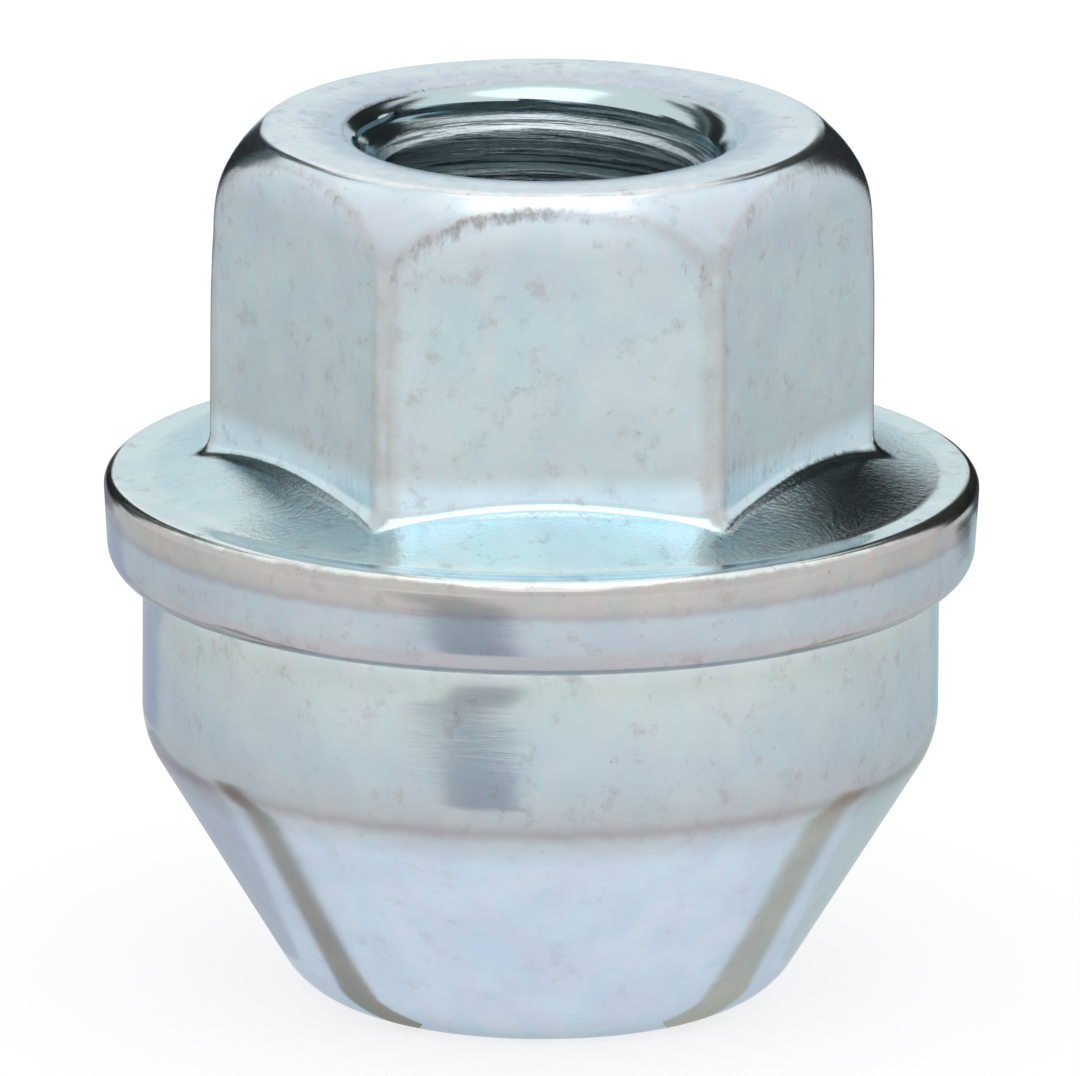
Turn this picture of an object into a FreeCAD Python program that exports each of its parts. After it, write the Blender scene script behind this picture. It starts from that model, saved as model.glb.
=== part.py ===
import FreeCAD, Part
import os
import Sketcher

# An open-ended wheel nut, formed and turned from one piece of steel.
# It stands on its foot: the origin is in the middle of the foot, +Z runs along the
# thread towards the spanner hex, and two flats of the hex face +Y and -Y.

SIZES = [
    ("foot_wall", 1.50, "wall round the thread at the small end of the seat taper"),
    ("foot_rounding", 2.80, "rounding from the taper to the foot"),
    ("foot_facing", 0.10, "depth faced off the rounded end to leave a flat foot"),
    ("seat_taper", 63.0, "included angle of the seat taper, in degrees"),
    ("shoulder_rounding", 2.90, "rounding from the taper to the collar"),
    ("collar_length", 5.25, "length of the plain collar, between sharp corners"),
    ("rim_step", 1.30, "how far the rim of the flange stands out from the plain collar"),
    ("rim_draft", 0.20, "how much smaller the rim is at its lower edge"),
    ("rim_thickness", 3.30, "height of the rim"),
    ("rim_lower_rounding", 1.10, "rounding under the rim"),
    ("rim_upper_rounding", 0.47, "rounding on top of the rim"),
    ("land_width", 1.25, "level ring on top of the rim"),
    ("dish_width", 2.10, "width of the dished face, from the land to the hex's corners"),
    ("dish_rise", 1.80, "rise of the dished face, from the land to just inside the flats"),
    ("dish_bend", 15.0, "radius of the dished face's hollow section"),
    ("across_flats", 18.80, "width across the flats, for a 19 mm spanner"),
    ("hex_height", 11.50, "top of the nut above the land"),
    ("corner_rounding", 0.75, "rounding of the six upright corners"),
    ("base_blend", 0.90, "hollow blend from the flats to the dished face"),
    ("crown_inset", 0.50, "distance from the flats in to the level top"),
    ("crown_depth", 3.50, "how far the crown's bend runs down the corners"),
    ("crown_blend", 0.60, "rounding from the crown to the flats"),
    ("thread_size", 12.0, "major diameter of the thread"),
    ("thread_pitch", 1.50, "pitch of the thread"),
    ("mouth_step", 0.45, "how far the mouth is wider than the thread"),
    ("mouth_roll", 1.00, "width of the rolled edge round the mouth"),
    ("mouth_drop", 0.20, "fall of the rolled edge into the mouth"),
    ("exit_step", 0.10, "how far the countersink in the foot is wider than the thread"),
]

# A metric thread's minor diameter is its major diameter less this share of the pitch.
THREAD_CUT = 1.0825
# A cut runs this far past the face that it opens.
OVERRUN = 1.0
# Edges are told apart by their places to within this length.
HAIR = 0.001

doc = FreeCAD.newDocument("wheel_nut")
sheet = doc.addObject("Spreadsheet::Sheet", "Sizes")
for row, (alias, size, meaning) in enumerate(SIZES, start=1):
    sheet.set(f"A{row}", alias)
    sheet.set(f"B{row}", str(size))
    sheet.set(f"C{row}", meaning)
    sheet.setAlias(f"B{row}", alias)
doc.recompute()


def measure(expression):
    """The present value of an expression in the sheet's sizes."""
    found = sheet.evalExpression(expression)
    return float(getattr(found, "Value", found))


# Radii, from the hex and the thread outwards, and levels above the foot.
flat_radius = "(Sizes.across_flats / 2)"
corner_radius = "(Sizes.across_flats / sqrt(3))"
crown_radius = f"({flat_radius} - Sizes.crown_inset)"
dish_radius = f"({corner_radius} + Sizes.dish_width)"
rim_radius = f"({dish_radius} + Sizes.land_width)"
lower_rim_radius = f"({rim_radius} - Sizes.rim_draft)"
collar_radius = f"({rim_radius} - Sizes.rim_step)"
foot_radius = "(Sizes.thread_size / 2 + Sizes.foot_wall)"
end_level = "(-Sizes.foot_facing)"
taper_rise = f"(({collar_radius} - {foot_radius}) / tan(Sizes.seat_taper * 0.5deg))"
shoulder_level = f"({end_level} + {taper_rise})"
collar_level = f"({shoulder_level} + Sizes.collar_length)"
land_level = f"({collar_level} + Sizes.rim_thickness)"
dish_level = f"({land_level} + Sizes.dish_rise)"
top_level = f"({land_level} + Sizes.hex_height)"
bore_radius = f"((Sizes.thread_size - {THREAD_CUT} * Sizes.thread_pitch) / 2)"
mouth_radius = "(Sizes.thread_size / 2 + Sizes.mouth_step)"
mouth_level = f"({top_level} - Sizes.mouth_drop)"
exit_radius = "(Sizes.thread_size / 2 + Sizes.exit_step)"

body = doc.addObject("PartDesign::Body", "wheel_nut")
body.Label = "wheel_nut"


def closed_sketch(name, plane, corners, bends=None):
    """A closed sketch on an origin plane through corners given as expressions.

    A side is straight unless bends gives it a radius, as an expression, and the way
    that its middle is pushed: 1 to the left of its run, -1 to the right.
    """
    bends = bends or {}
    sketch = body.newObject("Sketcher::SketchObject", name)
    support = next(item for item in body.Origin.OriginFeatures if item.Role == plane)
    sketch.AttachmentSupport = [(support, "")]
    sketch.MapMode = "FlatFace"
    points = [FreeCAD.Vector(measure(across), measure(up), 0) for across, up in corners]
    starts = []
    ends = []
    for side, start in enumerate(points):
        end = points[(side + 1) % len(points)]
        chord = end - start
        if side in bends:
            radius, way = bends[side]
            size = measure(radius)
            left = FreeCAD.Vector(-chord.y, chord.x, 0).normalize()
            bow = size - (size**2 - (chord.Length / 2) ** 2) ** 0.5
            middle = (start + end) / 2 + left * bow * way
            geometry = Part.Arc(start, middle, end)
        else:
            geometry = Part.LineSegment(start, end)
        number = sketch.addGeometry(geometry, False)
        # An arc is stored anticlockwise, so its ends may come the other way round.
        turned = sketch.getPoint(number, 1).distanceToPoint(start) > chord.Length / 2
        starts.append((number, 2 if turned else 1))
        ends.append((number, 1 if turned else 2))
        if side in bends:
            bound = sketch.addConstraint(Sketcher.Constraint("Radius", number, size))
            sketch.setExpression(f"Constraints[{bound}]", radius)
    for side, (number, place) in enumerate(starts):
        sketch.addConstraint(Sketcher.Constraint("Coincident", *ends[side - 1], number, place))
        for kind, axis, value, text in (
            ("DistanceX", -2, points[side].x, corners[side][0]),
            ("DistanceY", -1, points[side].y, corners[side][1]),
        ):
            if abs(value) < HAIR:
                sketch.addConstraint(Sketcher.Constraint("PointOnObject", number, place, axis))
            else:
                bound = sketch.addConstraint(Sketcher.Constraint(kind, -1, 1, number, place, value))
                sketch.setExpression(f"Constraints[{bound}]", text)
    doc.recompute()
    return sketch


def turn(kind, name, sketch):
    """A full turn of a sketch about the nut's axis, which adds or removes metal.

    It is made as two half turns, so that no face closes on itself and the roundings
    that cross the join stay sound.
    """
    for half, backwards in (("right", False), ("left", True)):
        feature = body.newObject(kind, f"{name}_{half}")
        feature.Profile = sketch
        feature.ReferenceAxis = (sketch, ["V_Axis"])
        feature.Angle = 180.0
        feature.Reversed = backwards
        feature.Refine = False
        doc.recompute()
    sketch.Visibility = False


def round_edges(name, size, chosen):
    """A rounding, bound to one size, on the edges that the test chooses."""
    base = body.Tip
    names = [f"Edge{place}" for place, edge in enumerate(base.Shape.Edges, start=1) if chosen(edge)]
    feature = body.newObject("PartDesign::Fillet", name)
    feature.Base = (base, names)
    feature.Refine = False
    feature.setExpression("Radius", f"Sizes.{size}")
    doc.recompute()


def ring_at(radius, level):
    """A test for the circular edges about the axis at a radius and a level."""
    size = measure(radius)
    height = measure(level)

    def chosen(edge):
        if edge.Curve.TypeId != "Part::GeomCircle":
            return False
        ring = edge.Curve
        return abs(ring.Radius - size) < HAIR and abs(ring.Center.z - height) < HAIR

    return chosen


# The turned blank: seat taper, plain collar, flange rim, land and dished face.
# The dished face runs on to a hub that the hex hides.
hub_radius = f"({flat_radius} - {OVERRUN})"
blank_sketch = closed_sketch(
    "blank_outline",
    "YZ_Plane",
    [
        ("0", end_level),
        (foot_radius, end_level),
        (collar_radius, shoulder_level),
        (collar_radius, collar_level),
        (lower_rim_radius, collar_level),
        (rim_radius, land_level),
        (dish_radius, land_level),
        (hub_radius, dish_level),
        ("0", dish_level),
    ],
    {6: ("Sizes.dish_bend", 1)},
)
turn("PartDesign::Revolution", "turned_blank", blank_sketch)
round_edges("foot_round", "foot_rounding", ring_at(foot_radius, end_level))
round_edges("shoulder_round", "shoulder_rounding", ring_at(collar_radius, shoulder_level))
round_edges("rim_lower_round", "rim_lower_rounding", ring_at(lower_rim_radius, collar_level))
round_edges("rim_upper_round", "rim_upper_rounding", ring_at(rim_radius, land_level))


# The spanner hex: a prism that starts inside the rim and ends at the level top.
hex_corners = []
for corner in range(6):
    across = f"({corner_radius} * cos({60 * corner}deg))"
    up = f"({corner_radius} * sin({60 * corner}deg))"
    hex_corners.append((across, up))
hex_sketch = closed_sketch("hex_outline", "XY_Plane", hex_corners)
hex_sketch.setExpression(".AttachmentOffset.Base.z", collar_level)
spanner_hex = body.newObject("PartDesign::Pad", "spanner_hex")
spanner_hex.Profile = hex_sketch
spanner_hex.Refine = False
spanner_hex.setExpression("Length", "Sizes.rim_thickness + Sizes.hex_height")
hex_sketch.Visibility = False
doc.recompute()


def upright_corner(edge):
    """Whether an edge is one of the hex's upright corners."""
    if edge.Curve.TypeId != "Part::GeomLine" or abs(edge.tangentAt(edge.FirstParameter).z) < 0.999:
        return False
    middle = edge.CenterOfMass
    return abs((middle.x**2 + middle.y**2) ** 0.5 - measure(corner_radius)) < HAIR


round_edges("corner_round", "corner_rounding", upright_corner)


def base_edge(edge):
    """Whether an edge is where a flat or a corner of the hex meets the dished face."""
    levels = [vertex.Z for vertex in edge.Vertexes]
    reach = [(vertex.X**2 + vertex.Y**2) ** 0.5 for vertex in edge.Vertexes]
    between = measure(land_level) + HAIR < min(levels) and max(levels) < measure(dish_level) - HAIR
    return between and min(reach) > measure(flat_radius) - HAIR


round_edges("base_round", "base_blend", base_edge)

# The crown: the hex is turned down from the level top to a bend that runs out at the corners.
crown_end_level = f"({top_level} - Sizes.crown_depth)"
outer_reach = f"({corner_radius} + {OVERRUN})"
crown_run = f"({corner_radius} - {crown_radius})"
crown_bend = f"(({crown_run} ^ 2 + Sizes.crown_depth ^ 2) / (2 * {crown_run}))"
crown_sketch = closed_sketch(
    "crown_outline",
    "YZ_Plane",
    [
        (crown_radius, top_level),
        (corner_radius, crown_end_level),
        (outer_reach, crown_end_level),
        (outer_reach, f"({top_level} + {OVERRUN})"),
        (crown_radius, f"({top_level} + {OVERRUN})"),
    ],
    {0: (crown_bend, 1)},
)
turn("PartDesign::Groove", "crown", crown_sketch)


def crown_edge(edge):
    """Whether an edge is where the crown runs onto a flat or a corner of the hex."""
    levels = [vertex.Z for vertex in edge.Vertexes]
    return measure(crown_end_level) - HAIR < min(levels) and max(levels) < measure(top_level) - HAIR


round_edges("crown_round", "crown_blend", crown_edge)

# The bore for the thread, with a rolled mouth at the top and a countersink in the foot.
bore_sketch = closed_sketch(
    "bore_outline",
    "YZ_Plane",
    [
        ("0", f"(-{OVERRUN})"),
        (f"({exit_radius} + {OVERRUN})", f"(-{OVERRUN})"),
        (bore_radius, f"({exit_radius} - {bore_radius})"),
        (bore_radius, f"({mouth_level} - ({mouth_radius} - {bore_radius}))"),
        (mouth_radius, mouth_level),
        (f"({mouth_radius} + Sizes.mouth_roll)", top_level),
        (f"({mouth_radius} + Sizes.mouth_roll)", f"({top_level} + {OVERRUN})"),
        ("0", f"({top_level} + {OVERRUN})"),
    ],
    {4: ("((Sizes.mouth_roll ^ 2 + Sizes.mouth_drop ^ 2) / (2 * Sizes.mouth_drop))", 1)},
)
turn("PartDesign::Groove", "threaded_bore", bore_sketch)

# Facing leaves the foot flat at level zero.
facing_reach = f"({collar_radius} + {OVERRUN})"
facing_sketch = closed_sketch(
    "facing_outline",
    "YZ_Plane",
    [
        ("0", f"({end_level} - {OVERRUN})"),
        (facing_reach, f"({end_level} - {OVERRUN})"),
        (facing_reach, "0"),
        ("0", "0"),
    ],
)
turn("PartDesign::Groove", "faced_foot", facing_sketch)

# Every feature has to have worked before the nut is written.
for item in doc.Objects:
    if "Invalid" in item.State or "Error" in item.State:
        raise RuntimeError(f"{item.Label} failed: {item.State}")
nut = body.Shape
if nut.isNull() or not nut.isValid() or len(nut.Solids) != 1:
    raise RuntimeError("the nut is not one valid solid")
os.makedirs("parts", exist_ok=True)
nut.exportStep(f"parts/{body.Label}.step")
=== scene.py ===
import math

import bmesh
import bpy
from mathutils import Matrix, Vector


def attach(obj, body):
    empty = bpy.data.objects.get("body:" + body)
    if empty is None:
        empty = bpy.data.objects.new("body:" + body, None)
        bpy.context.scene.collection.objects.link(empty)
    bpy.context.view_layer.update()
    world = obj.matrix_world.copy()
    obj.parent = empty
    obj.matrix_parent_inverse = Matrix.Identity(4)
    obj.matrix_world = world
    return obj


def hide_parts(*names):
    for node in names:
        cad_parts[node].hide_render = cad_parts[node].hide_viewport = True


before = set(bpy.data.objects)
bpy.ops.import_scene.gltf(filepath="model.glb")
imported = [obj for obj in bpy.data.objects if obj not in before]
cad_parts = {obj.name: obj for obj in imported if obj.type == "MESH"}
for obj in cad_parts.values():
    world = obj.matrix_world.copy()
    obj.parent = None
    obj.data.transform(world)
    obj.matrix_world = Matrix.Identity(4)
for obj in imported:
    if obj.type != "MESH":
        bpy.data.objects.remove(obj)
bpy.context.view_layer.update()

# The nut is one steel forging. A round blank is turned to an outline with a seat taper,
# collar, flange, dished face and crowned top, and the spanner hex is pressed into it.
# Then it is tapped and zinc plated. It stands with flats towards +Y and -Y.

# Sizes are in millimetres, with the foot at height zero. Turns are in degrees.
MM = 0.001
COLUMNS = 324
SIDE_TURN = 60
HALF_TURN = 30
FLAT_RADIUS = 9.4
CORNER_RADIUS = FLAT_RADIUS / math.cos(math.radians(HALF_TURN))
CORNER_ROUNDING = 0.75
FOOT_RADIUS = 7.5
FOOT_END = -0.1
FOOT_ROUNDING = 2.8
FOOT_FACE_RADIUS = 6.4
FOOT_GAP = 0.02
TAPER_ANGLE = math.radians(31.5)
DISH_RADIUS = CORNER_RADIUS + 2.1
RIM_RADIUS = DISH_RADIUS + 1.25
UPPER_RIM_ROUNDING = 0.47
LOWER_RIM_RADIUS = RIM_RADIUS - 0.2
LOWER_RIM_ROUNDING = 1.0
COLLAR_RADIUS = RIM_RADIUS - 1.3
SHOULDER_LEVEL = FOOT_END + (COLLAR_RADIUS - FOOT_RADIUS) / math.tan(TAPER_ANGLE)
SHOULDER_ROUNDING = 2.9
COLLAR_LEVEL = SHOULDER_LEVEL + 5.25
NECK_DROP = 0.12
NECK_STEP = 0.05
LAND_LEVEL = COLLAR_LEVEL + 3.3
TOP_LEVEL = LAND_LEVEL + 11.5
HUB_RADIUS = FLAT_RADIUS - 1.0
HUB_LEVEL = LAND_LEVEL + 1.8
DISH_BEND = 15.0
DISH_END = 0.75
DISH_ROWS = 14
BASE_BLEND = 0.9
CROWN_RADIUS = FLAT_RADIUS - 0.5
CROWN_DEPTH = 3.5
CROWN_LEAD = 0.15
CROWN_EDGE = 0.42
CROWN_ROWS = 31
CROWN_START = TOP_LEVEL - 4.4
TOP_EDGE_RADIUS = CROWN_RADIUS + 0.12
TOP_EDGE_ROUNDING = 0.7
MOUTH_RADIUS = 6.45
MOUTH_ROLL = 1.7
MOUTH_DROP = 0.2
MOUTH_ROWS = 7
MOUTH_LEVEL = TOP_LEVEL - MOUTH_DROP
EXIT_RADIUS = 6.1


def corner_arc(before, corner, after, radius, steps):
    """Points along the rounding of one corner of an outline."""
    back = (Vector(before) - Vector(corner)).normalized()
    ahead = (Vector(after) - Vector(corner)).normalized()
    half = back.angle(ahead) / 2
    centre = Vector(corner) + (back + ahead).normalized() * (radius / math.sin(half))
    first = Vector(corner) + back * (radius / math.tan(half)) - centre
    last = Vector(corner) + ahead * (radius / math.tan(half)) - centre
    turn = math.atan2(first.x * last.y - first.y * last.x, first.dot(last))
    return [
        tuple(centre + Matrix.Rotation(turn * step / steps, 2) @ first)
        for step in range(steps + 1)
    ]


def straight(start, end, steps):
    """Points between two places, without the two ends."""
    return [tuple(Vector(start).lerp(Vector(end), step / steps)) for step in range(1, steps)]


def dish_level(radius):
    """Height of the dished face: a hollow arc from the land to the hub."""
    chord = Vector((HUB_RADIUS - DISH_RADIUS, HUB_LEVEL - LAND_LEVEL))
    middle = Vector((DISH_RADIUS, LAND_LEVEL)) + chord / 2
    back = math.sqrt(DISH_BEND**2 - chord.length_squared / 4)
    centre = middle + Vector((chord.y, -chord.x)).normalized() * back
    return centre.y - math.sqrt(DISH_BEND**2 - (radius - centre.x) ** 2)


def crown_reach(level):
    """Radius of the turned crown at a level. Below its end it stays clear of the hex."""
    run = CORNER_RADIUS - CROWN_RADIUS
    bend = (run**2 + CROWN_DEPTH**2) / (2 * run)
    rise = level - (TOP_LEVEL - CROWN_DEPTH)
    if rise < 0:
        return CORNER_RADIUS - CROWN_LEAD * rise
    return CORNER_RADIUS - bend + math.sqrt(bend**2 - rise**2)


def hex_reach(angle):
    """Radius of the hexagon with rounded corners in a direction about the axis."""
    half_turn = math.radians(HALF_TURN)
    off_corner = math.radians(abs((math.degrees(angle) + HALF_TURN) % SIDE_TURN - HALF_TURN))
    along_flat = (FLAT_RADIUS - CORNER_ROUNDING) * math.tan(half_turn)
    if off_corner > half_turn - math.atan2(along_flat, FLAT_RADIUS):
        return FLAT_RADIUS / math.cos(half_turn - off_corner)
    centre = (FLAT_RADIUS - CORNER_ROUNDING) / math.cos(half_turn)
    aside = centre * math.sin(off_corner)
    return centre * math.cos(off_corner) + math.sqrt(CORNER_ROUNDING**2 - aside**2)


def softer(first, second, softness):
    """The lesser of two radii, with a soft change from one to the other."""
    near = max(softness - abs(first - second), 0) / softness
    return min(first, second) - near**2 * softness / 4


# The outline runs from the bore's lower end round the outside to the mouth of the bore.
outline = [(EXIT_RADIUS, 0), (FOOT_FACE_RADIUS, 0)]
foot = corner_arc(
    (0, FOOT_END),
    (FOOT_RADIUS, FOOT_END),
    (COLLAR_RADIUS, SHOULDER_LEVEL),
    radius=FOOT_ROUNDING,
    steps=14,
)
outline += [point for point in foot if point[1] > FOOT_GAP]
shoulder = corner_arc(
    (FOOT_RADIUS, FOOT_END),
    (COLLAR_RADIUS, SHOULDER_LEVEL),
    (COLLAR_RADIUS, COLLAR_LEVEL),
    radius=SHOULDER_ROUNDING,
    steps=10,
)
outline += straight(outline[-1], shoulder[0], steps=6) + shoulder
neck = (COLLAR_RADIUS, COLLAR_LEVEL - NECK_DROP)
outline += straight(shoulder[-1], neck, steps=4) + [neck]
outline.append((COLLAR_RADIUS + NECK_STEP, COLLAR_LEVEL))
lower = corner_arc(
    (COLLAR_RADIUS, COLLAR_LEVEL),
    (LOWER_RIM_RADIUS, COLLAR_LEVEL),
    (RIM_RADIUS, LAND_LEVEL),
    radius=LOWER_RIM_ROUNDING,
    steps=10,
)
upper = corner_arc(
    (LOWER_RIM_RADIUS, COLLAR_LEVEL),
    (RIM_RADIUS, LAND_LEVEL),
    (DISH_RADIUS, LAND_LEVEL),
    radius=UPPER_RIM_ROUNDING,
    steps=7,
)
outline += lower + straight(lower[-1], upper[0], steps=5) + upper
outline += straight(upper[-1], (DISH_RADIUS, LAND_LEVEL), steps=3)

# Rows of the dished face end short of the hex, and a hollow blend turns up into its wall.
for row in range(DISH_ROWS + 1):
    radius = DISH_RADIUS + (CORNER_RADIUS + DISH_END - DISH_RADIUS) * row / DISH_ROWS
    outline.append((radius, dish_level(radius)))
base = (CORNER_RADIUS, dish_level(CORNER_RADIUS))
blend = corner_arc(outline[-1], base, (CORNER_RADIUS, TOP_LEVEL), radius=BASE_BLEND, steps=6)
wall_foot = blend[-1][1]
outline += blend + straight(blend[-1], (CORNER_RADIUS, CROWN_START), steps=5)

# The crown's rows lie close, because the hex cuts across them in six arcs.
for row in range(CROWN_ROWS):
    level = CROWN_START + (TOP_LEVEL - CROWN_EDGE - CROWN_START) * row / (CROWN_ROWS - 1)
    outline.append((crown_reach(level), level))
outline += corner_arc(
    outline[-1],
    (TOP_EDGE_RADIUS, TOP_LEVEL),
    (0, TOP_LEVEL),
    radius=TOP_EDGE_ROUNDING,
    steps=8,
)
outline += straight(outline[-1], (MOUTH_RADIUS + MOUTH_ROLL, TOP_LEVEL), steps=3)
for row in range(MOUTH_ROWS + 1):
    part = row / MOUTH_ROWS
    outline.append((MOUTH_RADIUS + MOUTH_ROLL * (1 - part), TOP_LEVEL - MOUTH_DROP * part**2))

# Columns crowd towards the corners of the hex, and the blend at its foot is widest there.
CROWDING = 0.6
FLARE_ON_FLAT = 0.45
FLARE_AT_CORNER = 0.55
FLARE_TURN = 9
CROWN_SOFTNESS = 0.55
TOP_FACE_MARGIN = 1.0
NEAR = 0.01
SAME = 0.001
WORN_WIDTH = 0.26
PRESSED_WIDTH = 0.2
SMEAR_DEPTH = 0.55
BLEND_WIDTH = 0.3
BLEND_REACH = 0.5
WORN_CORNER_TURN = 1.8
WORN_CORNER_FADE = 1.6


def crowding(turn):
    """How far a column is turned towards the nearest corner of the hex."""
    across = (turn % SIDE_TURN - HALF_TURN) / HALF_TURN
    return HALF_TURN * CROWDING / math.pi * math.sin(math.pi * across)


def press(place):
    """Where a point of the round blank goes when the hex is pressed into it.

    It also gives the point's share of worn edge, pressed flat, dished face and smear.
    """
    worn = 0
    pressed = 0
    dished = 0
    smear = 0
    turn = math.degrees(math.atan2(place.y, place.x))
    turn += crowding(turn)
    off_corner = abs((turn + HALF_TURN) % SIDE_TURN - HALF_TURN)
    angle = math.radians(turn)
    radius = math.hypot(place.x, place.y) / MM
    level = place.z / MM
    reach = hex_reach(angle)
    flare = FLARE_ON_FLAT + FLARE_AT_CORNER * max(1 - off_corner / FLARE_TURN, 0) ** 2
    end = DISH_END * flare
    foot_level = dish_level(reach) + (wall_foot - base[1]) * flare
    if level > wall_foot + NEAR and radius > CROWN_RADIUS - TOP_FACE_MARGIN:
        if level < CROWN_START:
            stretch = (CROWN_START - foot_level) / (CROWN_START - wall_foot)
            level = foot_level + (level - wall_foot) * stretch
        shape = crown_reach(level) if level < TOP_LEVEL - CROWN_EDGE else radius
        radius = softer(shape, reach, CROWN_SOFTNESS)
        worn = max(1 - abs(shape - reach) / WORN_WIDTH, 0)
        pressed = min(max((shape - reach) / PRESSED_WIDTH + 0.5, 0), 1)
        smear = pressed * max(1 - (shape - reach) / SMEAR_DEPTH, 0)
    elif level > LAND_LEVEL + SAME and radius > CORNER_RADIUS + DISH_END - SAME:
        inward = (DISH_RADIUS - radius) / (DISH_RADIUS - CORNER_RADIUS - DISH_END)
        radius = DISH_RADIUS - inward * (DISH_RADIUS - reach - end)
        level = dish_level(radius)
        dished = 1
    elif LAND_LEVEL + SAME < level <= wall_foot + NEAR:
        pressed = min(max((CORNER_RADIUS + BLEND_REACH - radius) / BLEND_WIDTH, 0), 1)
        dished = 1 - pressed
        radius = reach + (radius - CORNER_RADIUS) * flare
        level = dish_level(reach) + (level - base[1]) * flare
    if pressed:
        fade = max(off_corner - WORN_CORNER_TURN, 0) / WORN_CORNER_FADE
        worn = max(worn, pressed * (1 - fade))
    spot = Vector((radius * math.cos(angle), radius * math.sin(angle), level)) * MM
    return spot, (worn, pressed, dished, smear)


nut = bmesh.new()
corners = [nut.verts.new((radius * MM, 0, level * MM)) for radius, level in outline]
edges = [nut.edges.new(pair) for pair in zip(corners, corners[1:])]
bmesh.ops.spin(
    nut,
    geom=corners + edges,
    cent=(0, 0, 0),
    axis=(0, 0, 1),
    angle=2 * math.pi,
    steps=COLUMNS,
    use_merge=True,
)
zones = nut.verts.layers.float_color.new("zones")
for corner in nut.verts:
    corner.co, corner[zones] = press(corner.co)

# The thread is M12 x 1.5, right handed, tapped down the bore between two countersinks.
# One turn of its section is swept up by one pitch, so each row runs on into the next turn.
THREAD_RADIUS = 6.0
THREAD_PITCH = 1.5
MINOR_RADIUS = THREAD_RADIUS - 0.54125 * THREAD_PITCH
CREST_LEVEL = 27.16 - THREAD_PITCH / 4
CREST_HALF = THREAD_PITCH / 8
ROOT_HALF = THREAD_PITCH / 16
FLANK_RADIUS = (MINOR_RADIUS + THREAD_RADIUS) / 2
FLANK_HALF = (CREST_HALF + THREAD_PITCH / 2 - ROOT_HALF) / 2
LOWEST_TURN = -19
HIGHEST_TURN = 2
FINE_TURN = -1
FINE_STEPS = 3
SINK_SLOPE = 0.4
SINK_BEND = 0.45
MERGE_WITHIN = 0.004
SLIVER = 0.001
COARSE_EDGE = 0.17
SHARP_TURN = 28
tooth = [
    (THREAD_RADIUS, -THREAD_PITCH / 2 + ROOT_HALF),
    (FLANK_RADIUS, -FLANK_HALF),
    (MINOR_RADIUS, -CREST_HALF),
    (MINOR_RADIUS, 0),
    (MINOR_RADIUS, CREST_HALF),
    (FLANK_RADIUS, FLANK_HALF),
    (THREAD_RADIUS, THREAD_PITCH / 2 - ROOT_HALF),
]
section = []
for turn in range(LOWEST_TURN, HIGHEST_TURN + 1):
    turned = [(radius, CREST_LEVEL + turn * THREAD_PITCH + rise) for radius, rise in tooth]
    if turn >= FINE_TURN:
        finer = []
        for start, end in zip(turned, turned[1:]):
            finer += [start] + straight(start, end, FINE_STEPS)
        turned = finer + [turned[-1]]
    section += turned
bore = bmesh.new()
corners = [bore.verts.new((radius * MM, 0, level * MM)) for radius, level in section]
edges = [bore.edges.new(pair) for pair in zip(corners, corners[1:])]
bmesh.ops.spin(
    bore,
    geom=corners + edges,
    cent=(0, 0, 0),
    axis=(0, 0, 1),
    dvec=(0, 0, THREAD_PITCH * MM / COLUMNS),
    angle=2 * math.pi,
    steps=COLUMNS,
    use_merge=False,
)

# The countersinks cut the thread away, and what stands past the nut's ends is drawn back.
for corner in bore.verts:
    angle = math.atan2(corner.co.y, corner.co.x)
    shift = math.radians(crowding(math.degrees(angle)))
    radius = math.hypot(corner.co.x, corner.co.y) / MM
    level = corner.co.z / MM + THREAD_PITCH * shift / (2 * math.pi)
    level = min(max(level, 0), MOUTH_LEVEL)
    depth = MOUTH_LEVEL - level
    sunk = (math.sqrt(SINK_SLOPE**2 + 4 * SINK_BEND * depth) - SINK_SLOPE) / (2 * SINK_BEND)
    radius = max(radius, MOUTH_RADIUS - sunk, EXIT_RADIUS - level)
    if level in (0, MOUTH_LEVEL):
        radius = MOUTH_RADIUS if level else EXIT_RADIUS
    angle += shift
    corner.co = Vector((radius * math.cos(angle), radius * math.sin(angle), level)) * MM
for face in bore.faces:
    face.material_index = 1
threaded = bpy.data.meshes.new("thread")
bore.to_mesh(threaded)
bore.free()
nut.from_mesh(threaded)

# Where a coarse turn meets a fine one, the coarse edges are cut to match before they merge.
bmesh.ops.remove_doubles(nut, verts=nut.verts[:], dist=MERGE_WITHIN * MM)
seam = [edge for edge in nut.edges if edge.is_boundary and edge.calc_length() > COARSE_EDGE * MM]
bmesh.ops.subdivide_edges(nut, edges=seam, cuts=FINE_STEPS - 1)
bmesh.ops.remove_doubles(nut, verts=nut.verts[:], dist=MERGE_WITHIN * MM)
bmesh.ops.dissolve_degenerate(nut, edges=nut.edges[:], dist=SLIVER * MM)
bmesh.ops.recalc_face_normals(nut, faces=nut.faces[:])
for face in nut.faces:
    face.smooth = True
for edge in nut.edges:
    if len(edge.link_faces) == 2 and edge.calc_face_angle(0) > math.radians(SHARP_TURN):
        edge.smooth = False
mesh = bpy.data.meshes.new("wheel_nut")
nut.to_mesh(mesh)
nut.free()
wheel_nut = bpy.data.objects.new("wheel_nut_forging", mesh)
bpy.context.scene.collection.objects.link(wheel_nut)


def linear(colour):
    """A hex colour as linear red, green, blue and alpha."""
    parts = [int(colour[place : place + 2], 16) / 255 for place in (1, 3, 5)]
    return [
        part / 12.92 if part <= 0.04045 else ((part + 0.055) / 1.055) ** 2.4 for part in parts
    ] + [1]


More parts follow.
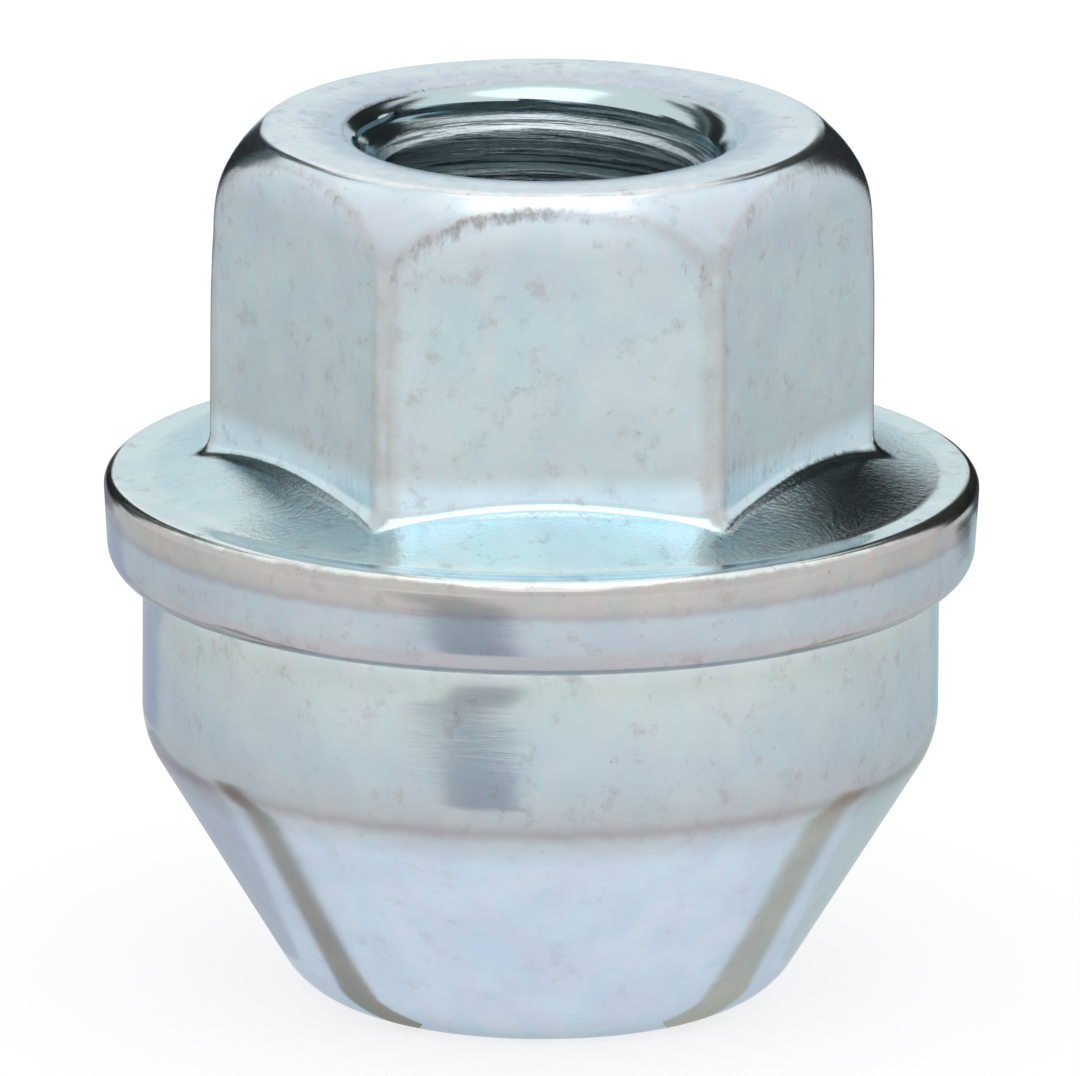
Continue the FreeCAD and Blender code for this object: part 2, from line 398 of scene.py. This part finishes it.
def add(tree, kind, inputs=None, **settings):
    """Adds a shader node, with its settings, and with values or links for its inputs."""
    made = tree.nodes.new("ShaderNode" + kind)
    for name, value in settings.items():
        setattr(made, name, value)
    for name, value in (inputs or {}).items():
        if isinstance(value, bpy.types.NodeSocket):
            tree.links.new(value, made.inputs[name])
        else:
            made.inputs[name].default_value = value
    return made


# Zinc plate with a clear passivate on turned and forged steel: pale, blueish and satin.
# The passivate's thickness changes with the form, so its tint follows the height. Three
# bands are painted highlights instead: near-white on the rim's lower and upper roundings,
# and pale at the top of the crown and round the mouth.
TINT_AND_HIGHLIGHT_BANDS = [
    (0.0, "#D2DFE9"),
    (1.5, "#D9E8F9"),
    (7.2, "#D6E5F5"),
    (8.1, "#C8D1DA"),
    (8.5, "#B1AFB4"),
    (8.9, "#BDC3C8"),
    (10.3, "#BCCAD3"),
    (12.0, "#C3D0D6"),
    (13.4, "#C9D4D2"),
    (13.85, "#D4DDE0"),
    # Painted highlight: a near-white band on the lower rim rounding, over the shade there.
    (14.02, "#F2F5F7"),
    (14.14, "#C9C8CE"),
    (14.75, "#BFC0C5"),
    (14.95, "#BCC6CF"),
    (15.9, "#BDC9D3"),
    (16.1, "#B0B0B5"),
    (16.35, "#BFBEBC"),
    (17.08, "#C4C2BF"),
    # Painted highlight: a near-white band on the upper rim rounding.
    (17.2, "#FAFFFB"),
    (17.45, "#D8ECEE"),
    (18.9, "#D0E6F1"),
    (19.6, "#BECBCF"),
    (24.5, "#C2D3D9"),
    (26.8, "#C6D2D9"),
    # Painted highlight: pale bands at the top of the crown and round the mouth.
    (28.1, "#DAE6F0"),
    (28.6, "#E6F4FC"),
    (28.76, "#C4D6DC"),
]
WORN = "#B9B1AE"
STAIN = "#A59A98"
FLECK = "#8A8482"
SMEAR = "#7F7975"
LILAC = "#CDC5D4"
ROSY = (1.02, 0.996, 0.995, 1)
GREENISH = (0.97, 1.01, 1.005, 1)
DULLER = (0.96, 0.96, 0.975, 1)
BRIGHTER = (1.03, 1.025, 1.01, 1)
GRAZING_TINT = (0.8, 0.86, 0.9, 1)

# Grains of each pattern to a millimetre. Turning rings, pressing streaks and the forged
# crinkle are finer on the real nut, and are drawn as coarse as they need to be to show.
RIPPLES = 1.3
DRIFTS = 0.9
CLOUDS = 0.55
STAINS = 1.2
FLECKS = 3.4
DRIPS = 1.9
RINGS = 4.0
STREAKS = 2.2
CRINKLES = 5.5
RIPPLE_HEIGHT = 0.28
RELIEF_DEPTH = 0.02

zinc = bpy.data.materials.new("Zinc-plated steel, clear passivate")
zinc.use_nodes = True
tree = zinc.node_tree
tree.nodes.clear()
place = add(tree, "TexCoord").outputs["Object"]
place = add(tree, "VectorMath", {0: place, "Scale": 1 / MM}, operation="SCALE").outputs[0]
x, y, z = add(tree, "SeparateXYZ", {0: place}).outputs
across = add(tree, "CombineXYZ", {0: x, 1: y}).outputs[0]
radius = add(tree, "VectorMath", {0: across}, operation="LENGTH").outputs["Value"]
angle = add(tree, "Math", {0: y, 1: x}, operation="ARCTAN2").outputs[0]
zone = add(tree, "Attribute", attribute_name="zones")
smear = zone.outputs["Alpha"]
worn, pressed, dished = add(tree, "SeparateColor", {0: zone.outputs["Color"]}).outputs

# The tint bands and the painted highlight bands lie at their heights, with edges that
# ripple a little.
height = add(tree, "Math", {0: z, 1: TOP_LEVEL}, operation="DIVIDE").outputs[0]
ripple = add(
    tree, "TexNoise", {"Vector": place, "Scale": RIPPLES, "Detail": 4.0, "Roughness": 0.6}
).outputs[0]
ripple = add(tree, "Math", {0: ripple, 1: -0.5}, operation="ADD").outputs[0]
height = add(
    tree, "Math", {0: ripple, 1: RIPPLE_HEIGHT / TOP_LEVEL, 2: height}, operation="MULTIPLY_ADD"
).outputs[0]
tint_and_highlight = add(tree, "ValToRGB", {"Fac": height})
for level, colour in TINT_AND_HIGHLIGHT_BANDS[1:]:
    tint_and_highlight.color_ramp.elements.new(level / TOP_LEVEL)
for element, (level, colour) in zip(tint_and_highlight.color_ramp.elements, TINT_AND_HIGHLIGHT_BANDS):
    element.position = level / TOP_LEVEL
    element.color = linear(colour)
tint_and_highlight = tint_and_highlight.outputs[0]

# The tint drifts between rosy, green and blue over a few millimetres, in soft clouds.
upright = add(tree, "VectorMath", {0: place, 1: (1, 1, 0.35)}, operation="MULTIPLY").outputs[0]
drift = add(
    tree, "TexNoise", {"Vector": upright, "Scale": DRIFTS, "Detail": 5.0, "Roughness": 0.6}
).outputs[0]
drift = add(
    tree, "MapRange", {0: drift, 1: 0.42, 2: 0.62}, interpolation_type="SMOOTHSTEP"
).outputs[0]
drift = add(tree, "Mix", {"Factor": drift, 6: ROSY, 7: GREENISH}, data_type="RGBA").outputs[2]
colour = add(
    tree, "Mix", {"Factor": 1.0, 6: tint_and_highlight, 7: drift}, data_type="RGBA", blend_type="MULTIPLY"
).outputs[2]
cloud = add(tree, "TexNoise", {"Vector": place, "Scale": CLOUDS, "Detail": 3.0}).outputs[0]
cloud = add(
    tree, "MapRange", {0: cloud, 1: 0.35, 2: 0.65}, interpolation_type="SMOOTHSTEP"
).outputs[0]
cloud = add(tree, "Mix", {"Factor": cloud, 6: DULLER, 7: BRIGHTER}, data_type="RGBA").outputs[2]
colour = add(
    tree, "Mix", {"Factor": 1.0, 6: colour, 7: cloud}, data_type="RGBA", blend_type="MULTIPLY"
).outputs[2]

# Small stains and darker flecks lie in the plate, and fewer of them on the seat taper.
patch = add(
    tree, "TexNoise", {"Vector": place, "Scale": STAINS, "Detail": 8.0, "Roughness": 0.66}
).outputs[0]
clean = add(tree, "MapRange", {0: z, 1: 9.0, 2: 7.6}, interpolation_type="SMOOTHSTEP").outputs[0]
clean = add(tree, "Math", {0: clean, 1: -0.6, 2: 1.0}, operation="MULTIPLY_ADD").outputs[0]
stain = add(
    tree, "MapRange", {0: patch, 1: 0.54, 2: 0.72, 4: 0.4}, interpolation_type="SMOOTHSTEP"
).outputs[0]
stain = add(tree, "Math", {0: stain, 1: clean}, operation="MULTIPLY").outputs[0]
colour = add(
    tree, "Mix", {"Factor": stain, 6: colour, 7: linear(STAIN)}, data_type="RGBA"
).outputs[2]
fleck = add(
    tree, "TexNoise", {"Vector": place, "Scale": FLECKS, "Detail": 6.0, "Roughness": 0.7}
).outputs[0]
fleck = add(
    tree, "MapRange", {0: fleck, 1: 0.58, 2: 0.70, 4: 0.4}, interpolation_type="SMOOTHSTEP"
).outputs[0]
gathered = add(
    tree, "MapRange", {0: patch, 1: 0.45, 2: 0.62}, interpolation_type="SMOOTHSTEP"
).outputs[0]
fleck = add(tree, "Math", {0: fleck, 1: gathered}, operation="MULTIPLY").outputs[0]
fleck = add(tree, "Math", {0: fleck, 1: clean}, operation="MULTIPLY").outputs[0]
colour = add(
    tree, "Mix", {"Factor": fleck, 6: colour, 7: linear(FLECK)}, data_type="RGBA"
).outputs[2]

# Edges are rubbed to a dull beige, and the top face is lilac round the mouth.
rubbed = add(
    tree, "MapRange", {0: patch, 1: 0.2, 2: 0.55, 4: 0.5}, interpolation_type="SMOOTHSTEP"
).outputs[0]
rubbed = add(tree, "Math", {0: rubbed, 1: worn}, operation="MULTIPLY").outputs[0]
colour = add(
    tree, "Mix", {"Factor": rubbed, 6: colour, 7: linear(WORN)}, data_type="RGBA"
).outputs[2]
top = add(tree, "MapRange", {0: z, 1: 28.3, 2: 28.6}, interpolation_type="SMOOTHSTEP").outputs[0]
ring = add(
    tree, "MapRange", {0: radius, 1: 8.0, 2: 7.2, 4: 0.3}, interpolation_type="SMOOTHSTEP"
).outputs[0]
ring = add(tree, "Math", {0: top, 1: ring}, operation="MULTIPLY").outputs[0]
colour = add(
    tree, "Mix", {"Factor": ring, 6: colour, 7: linear(LILAC)}, data_type="RGBA"
).outputs[2]

# A spanner has smeared the front flat's upper edge dark, and the others a little.
upright = add(tree, "VectorMath", {0: place, 1: (1, 1, 0.5)}, operation="MULTIPLY").outputs[0]
drip = add(
    tree, "TexNoise", {"Vector": upright, "Scale": DRIPS, "Detail": 6.0, "Roughness": 0.68}
).outputs[0]
left = add(tree, "MapRange", {0: x, 1: -5.2, 2: -3.2}, interpolation_type="SMOOTHSTEP").outputs[0]
right = add(tree, "MapRange", {0: x, 1: 1.6, 2: -1.2}, interpolation_type="SMOOTHSTEP").outputs[0]
front = add(tree, "MapRange", {0: y, 1: -8, 2: -9}, interpolation_type="SMOOTHSTEP").outputs[0]
middle = add(tree, "Math", {0: left, 1: right}, operation="MULTIPLY").outputs[0]
front = add(tree, "Math", {0: middle, 1: front}, operation="MULTIPLY").outputs[0]
front = add(tree, "Math", {0: front, 1: 0.24, 2: 0.02}, operation="MULTIPLY_ADD").outputs[0]
dark = add(tree, "Math", {0: smear, 1: front, 2: drip}, operation="MULTIPLY_ADD").outputs[0]
dark = add(
    tree, "MapRange", {0: dark, 1: 0.53, 2: 0.80}, interpolation_type="SMOOTHSTEP"
).outputs[0]
inside = add(
    tree, "MapRange", {0: smear, 1: 0.02, 2: 0.4, 4: 0.75}, interpolation_type="SMOOTHSTEP"
).outputs[0]
dark = add(tree, "Math", {0: dark, 1: inside}, operation="MULTIPLY").outputs[0]
colour = add(
    tree, "Mix", {"Factor": dark, 6: colour, 7: linear(SMEAR)}, data_type="RGBA"
).outputs[2]

# Turning leaves fine rings, deepest on the collar. Pressing leaves streaks down the flats,
# and forging a crinkle in the dish.
around = add(tree, "Math", {0: angle, 1: 0.8}, operation="MULTIPLY").outputs[0]
rings = add(tree, "CombineXYZ", {0: radius, 1: z, 2: around}).outputs[0]
rings = add(
    tree, "TexNoise", {"Vector": rings, "Scale": RINGS, "Detail": 6.0, "Roughness": 0.65}
).outputs[0]
above = add(tree, "MapRange", {0: z, 1: 10.0, 2: 11.2}, interpolation_type="SMOOTHSTEP").outputs[0]
below = add(tree, "MapRange", {0: z, 1: 12.8, 2: 12.0}, interpolation_type="SMOOTHSTEP").outputs[0]
cut = add(tree, "Math", {0: above, 1: below}, operation="MULTIPLY").outputs[0]
cut = add(tree, "Math", {0: cut, 1: 0.35, 2: 0.14}, operation="MULTIPLY_ADD").outputs[0]
rings = add(tree, "Math", {0: rings, 1: cut}, operation="MULTIPLY").outputs[0]
streaks = add(tree, "VectorMath", {0: place, 1: (1, 1, 0.12)}, operation="MULTIPLY").outputs[0]
streaks = add(
    tree, "TexNoise", {"Vector": streaks, "Scale": STREAKS, "Detail": 6.0, "Roughness": 0.6}
).outputs[0]
crinkle = add(
    tree, "TexNoise", {"Vector": place, "Scale": CRINKLES, "Detail": 5.0, "Roughness": 0.6}
).outputs[0]
crinkle = add(tree, "Math", {0: crinkle, 1: 0.74}, operation="MULTIPLY").outputs[0]
relief = add(tree, "Mix", {"Factor": pressed, 2: rings, 3: streaks}, data_type="FLOAT").outputs[0]
relief = add(tree, "Mix", {"Factor": dished, 2: relief, 3: crinkle}, data_type="FLOAT").outputs[0]
bump = add(tree, "Bump", {"Height": relief, "Strength": 1.0, "Distance": RELIEF_DEPTH * MM})

# The flats turn more satin towards the crown, and the dish is a little glossier.
upper = add(tree, "MapRange", {0: z, 1: 22.5, 2: 25.0}, interpolation_type="SMOOTHSTEP").outputs[0]
satin = add(tree, "Math", {0: upper, 1: pressed}, operation="MULTIPLY").outputs[0]
rough = add(tree, "Math", {0: satin, 1: 0.08, 2: 0.17}, operation="MULTIPLY_ADD").outputs[0]
rough = add(tree, "Math", {0: upper, 1: 0.03, 2: rough}, operation="MULTIPLY_ADD").outputs[0]
rough = add(tree, "Math", {0: dished, 1: -0.04, 2: rough}, operation="MULTIPLY_ADD").outputs[0]
skin = add(
    tree,
    "BsdfPrincipled",
    {
        "Base Color": colour,
        "Metallic": 1.0,
        "Roughness": rough,
        "Specular Tint": GRAZING_TINT,
        "Normal": bump.outputs[0],
    },
)
add(tree, "OutputMaterial", {"Surface": skin.outputs[0]})
wheel_nut.data.materials.append(zinc)

# In the bore the same plate is thinner, and the tap has left sharp dark rings on the thread.
# The countersink, above DEEP_START, is smooth and pale.
SINK = "#C6D9DD"
CUT = "#D8E4E6"
TAP_LINES = "#6C7A80"
DEEP_START = 28.0
DEEP_END = 27.6
TAP_RINGS = 7.0
TORN_GRAINS = 4.0
CUT_DEPTH = 0.022
tapped = bpy.data.materials.new("Zinc-plated steel, tapped thread")
tapped.use_nodes = True
tree = tapped.node_tree
tree.nodes.clear()
place = add(tree, "TexCoord").outputs["Object"]
place = add(tree, "VectorMath", {0: place, "Scale": 1 / MM}, operation="SCALE").outputs[0]
x, y, z = add(tree, "SeparateXYZ", {0: place}).outputs
across = add(tree, "CombineXYZ", {0: x, 1: y}).outputs[0]
radius = add(tree, "VectorMath", {0: across}, operation="LENGTH").outputs["Value"]
angle = add(tree, "Math", {0: y, 1: x}, operation="ARCTAN2").outputs[0]
rise = add(
    tree, "Math", {0: angle, 1: -THREAD_PITCH / (2 * math.pi), 2: z}, operation="MULTIPLY_ADD"
).outputs[0]
around = add(tree, "Math", {0: angle, 1: 0.16}, operation="MULTIPLY").outputs[0]
rings = add(tree, "CombineXYZ", {0: radius, 1: rise, 2: around}).outputs[0]
rings = add(
    tree, "TexNoise", {"Vector": rings, "Scale": TAP_RINGS, "Detail": 5.0, "Roughness": 0.7}
).outputs[0]
deep = add(
    tree, "MapRange", {0: z, 1: DEEP_START, 2: DEEP_END}, interpolation_type="SMOOTHSTEP"
).outputs[0]
colour = add(
    tree, "Mix", {"Factor": deep, 6: linear(SINK), 7: linear(CUT)}, data_type="RGBA"
).outputs[2]
lines = add(
    tree, "MapRange", {0: rings, 1: 0.5, 2: 0.56}, interpolation_type="SMOOTHSTEP"
).outputs[0]
lines = add(tree, "Math", {0: lines, 1: deep}, operation="MULTIPLY").outputs[0]
colour = add(
    tree, "Mix", {"Factor": lines, 6: colour, 7: linear(TAP_LINES)}, data_type="RGBA"
).outputs[2]
torn = add(
    tree, "TexNoise", {"Vector": place, "Scale": TORN_GRAINS, "Detail": 6.0, "Roughness": 0.7}
).outputs[0]
crest = add(
    tree, "MapRange", {0: radius, 1: 5.6, 2: 5.3, 4: 1.5}, interpolation_type="SMOOTHSTEP"
).outputs[0]
torn = add(tree, "Math", {0: torn, 1: crest}, operation="MULTIPLY").outputs[0]
relief = add(tree, "Math", {0: rings, 1: torn}, operation="ADD").outputs[0]
depth = add(tree, "Math", {0: deep, 1: 0.8, 2: 0.2}, operation="MULTIPLY_ADD").outputs[0]
relief = add(tree, "Math", {0: relief, 1: depth}, operation="MULTIPLY").outputs[0]
bump = add(tree, "Bump", {"Height": relief, "Strength": 1.0, "Distance": CUT_DEPTH * MM})
skin = add(
    tree,
    "BsdfPrincipled",
    {
        "Base Color": colour,
        "Metallic": 1.0,
        "Roughness": 0.13,
        "Specular Tint": GRAZING_TINT,
        "Normal": bump.outputs[0],
    },
)
add(tree, "OutputMaterial", {"Surface": skin.outputs[0]})
wheel_nut.data.materials.append(tapped)
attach(wheel_nut, "root")
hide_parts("wheel_nut")

# The table is plain white board. It shows white to the eye and in the metal, and keeps a
# soft shadow under the nut. Behind the nut it falls off a little.
BOARD_GREY = (0.28, 0.28, 0.28, 1)
SEEN_GLOW = 0.74
NEAR_GLOW = 0.72
FAR_GLOW = 0.52
board = bmesh.new()
bmesh.ops.create_grid(board, x_segments=1, y_segments=1, size=3.0)
mesh = bpy.data.meshes.new("floor")
board.to_mesh(mesh)
board.free()
floor = bpy.data.objects.new("floor", mesh)
bpy.context.scene.collection.objects.link(floor)
paper = bpy.data.materials.new("White board, matt")
paper.use_nodes = True
tree = paper.node_tree
tree.nodes.clear()
path = add(tree, "LightPath").outputs
place = add(tree, "TexCoord").outputs["Object"]
x, y, z = add(tree, "SeparateXYZ", {0: place}).outputs
mirrored = add(
    tree,
    "Math",
    {0: path["Is Glossy Ray"], 1: path["Is Transmission Ray"]},
    operation="MAXIMUM",
).outputs[0]
fall = add(
    tree,
    "MapRange",
    {0: y, 1: -0.06, 2: 0.03, 3: NEAR_GLOW, 4: FAR_GLOW},
    interpolation_type="SMOOTHSTEP",
).outputs[0]
mirrored = add(tree, "Math", {0: mirrored, 1: fall}, operation="MULTIPLY").outputs[0]
strength = add(
    tree,
    "Math",
    {0: path["Is Camera Ray"], 1: SEEN_GLOW, 2: mirrored},
    operation="MULTIPLY_ADD",
).outputs[0]
glow = add(tree, "Emission", {"Color": (1, 1, 1, 1), "Strength": strength})
matt = add(tree, "BsdfDiffuse", {"Color": BOARD_GREY})
both = add(tree, "AddShader", {0: matt.outputs[0], 1: glow.outputs[0]})
add(tree, "OutputMaterial", {"Surface": both.outputs[0]})
floor.data.materials.append(paper)

# Paper cards stand far behind the nut and lie round it, out of sight, and show only in the
# metal. Each standing card has its brightness, its distance and its corners as x and height.
STANDING = {
    "dark card, right": (
        (0.02, 0.02, 0.02), 180,
        (33, 0), (250, 0), (250, 222), (212, 235), (200, 330), (140, 330), (120, 190), (96, 190),
        (84, 222), (55, 188), (32, 138), (29, 127), (29, 92), (42, 72), (50, 56), (45, 34), (33, 28),
    ),
    "dark card, left": (
        (0.02, 0.02, 0.02), 180,
        (-140, 0), (-33, 0), (-33, 30), (-44, 48), (-62, 52), (-70, 95), (-80, 205), (-126, 205),
        (-126, 40), (-140, 40),
    ),
    "teal card, left": ((0.04, 0.07, 0.07), 180, (-200, 40), (-126, 40), (-135, 320), (-185, 320)),
    "grey paper, back": ((0.76, 0.83, 0.85), 181, (-45, 0), (40, 0), (40, 130), (-45, 130)),
}

# Each lying card has its brightness, its height over the table and its corners as x and y.
LYING = {
    "dark floor, right": ((0.06, 0.07, 0.08), 0.05, (10, 62), (36, 51), (140, 180), (33, 180)),
    "dark patch, right": ((0.07, 0.08, 0.08), 0.07, (34, 46), (46, 37), (51.5, 44), (37.5, 55)),
    "dark floor, left": ((0.3, 0.28, 0.36), 0.05, (-36, 51), (-10, 62), (-36, 180), (-140, 180)),
    "teal floor, right": ((0.6, 0.72, 0.73), 0.05, (7, 38), (26, 28), (36, 51), (10, 62)),
    "violet floor, left": ((0.6, 0.59, 0.7), 0.05, (-30, 24), (-7, 38), (-10, 62), (-42, 46)),
    "mint floor, right": ((0.68, 0.7, 0.65), 0.05, (9, -1), (22, 2), (26, 28), (7, 30)),
    "lilac floor, left": ((0.61, 0.58, 0.6), 0.05, (-22, 2), (-9, -1), (-7, 30), (-26, 24)),
    "grey card, near": (
        (0.5, 0.53, 0.58), 0.05, (-13.5, -33.4), (-3.1, -35.9), (-7.4, -52.5), (-24.1, -47.2),
    ),
    "grey card, far": (
        (0.52, 0.54, 0.57), 0.05, (-24.1, -47.2), (-7.4, -52.5), (-26.7, -73.3), (-53.2, -57),
    ),
    "strip, right": ((0.56, 0.5, 0.4), 0.06, (4, -6.4), (22, -4.0), (22, 1.2), (4, -5.0)),
    "strip, left": ((0.38, 0.33, 0.27), 0.06, (-4, -6.2), (-4, -5.2), (-24, 1.2), (-24, -3.0)),
}
cards = [
    (name, brightness, [(x, distance, z) for x, z in corners])
    for name, (brightness, distance, *corners) in STANDING.items()
]
cards += [
    (name, brightness, [(x, y, height) for x, y in corners])
    for name, (brightness, height, *corners) in LYING.items()
]
for name, brightness, corners in cards:
    sheet = bmesh.new()
    sheet.faces.new([sheet.verts.new(Vector(corner) * MM) for corner in corners])
    mesh = bpy.data.meshes.new(name)
    sheet.to_mesh(mesh)
    sheet.free()
    card = bpy.data.objects.new(name, mesh)
    bpy.context.scene.collection.objects.link(card)
    finish = bpy.data.materials.new(f"Card, {name}")
    finish.use_nodes = True
    tree = finish.node_tree
    tree.nodes.clear()
    glow = add(tree, "Emission", {"Color": (*brightness, 1), "Strength": 1.0})
    add(tree, "OutputMaterial", {"Surface": glow.outputs[0]})
    card.data.materials.append(finish)
    card.visible_camera = False
    card.visible_diffuse = False
    card.visible_shadow = False
    card.visible_transmission = False

# The studio is a white tent of cloth, lit evenly from outside, with one soft lamp over the
# front of the nut. The tent shows pure white to the camera.
TENT_GLOW = 0.92
LAMP_GLOW = 0.65
world = bpy.data.worlds.new("White tent")
bpy.context.scene.world = world
world.use_nodes = True
tree = world.node_tree
tree.nodes.clear()
seen = add(tree, "LightPath").outputs["Is Camera Ray"]
tent = add(tree, "Background", {"Color": (1, 1, 1, 1), "Strength": TENT_GLOW}).outputs[0]
plain = add(tree, "Background", {"Color": (1, 1, 1, 1), "Strength": 1.0}).outputs[0]
mixed = add(tree, "MixShader", {0: seen, 1: tent, 2: plain}).outputs[0]
add(tree, "OutputWorld", {"Surface": mixed})
lamp = bpy.data.lights.new("soft lamp", "AREA")
lamp.shape = "RECTANGLE"
lamp.size = 0.24
lamp.size_y = 0.67
lamp.energy = LAMP_GLOW * math.pi * lamp.size * lamp.size_y
hung = bpy.data.objects.new("soft lamp", lamp)
hung.location = (0.01, -0.235, 0.4)
bpy.context.scene.collection.objects.link(hung)

# The camera looks down a little on the front flat, from a metre away with a long lens.
AIM = Vector((-0.04, 0, 14.98)) * MM
AZIMUTH = math.radians(-1.5)
ELEVATION = math.radians(15.06)
ROLL = math.radians(0.34)
sight = bpy.data.cameras.new("camera")
sight.lens = 1029
sight.clip_start = 0.01
camera = bpy.data.objects.new("camera", sight)
bpy.context.scene.collection.objects.link(camera)
back = Vector(
    (
        math.cos(ELEVATION) * math.sin(AZIMUTH),
        -math.cos(ELEVATION) * math.cos(AZIMUTH),
        math.sin(ELEVATION),
    )
)
camera.location = AIM + back
facing = back.to_track_quat("Z", "Y").to_matrix() @ Matrix.Rotation(ROLL, 3, "Z")
camera.rotation_euler = facing.to_euler()
bpy.context.scene.camera = camera
bpy.context.scene.view_settings.view_transform = "Standard"
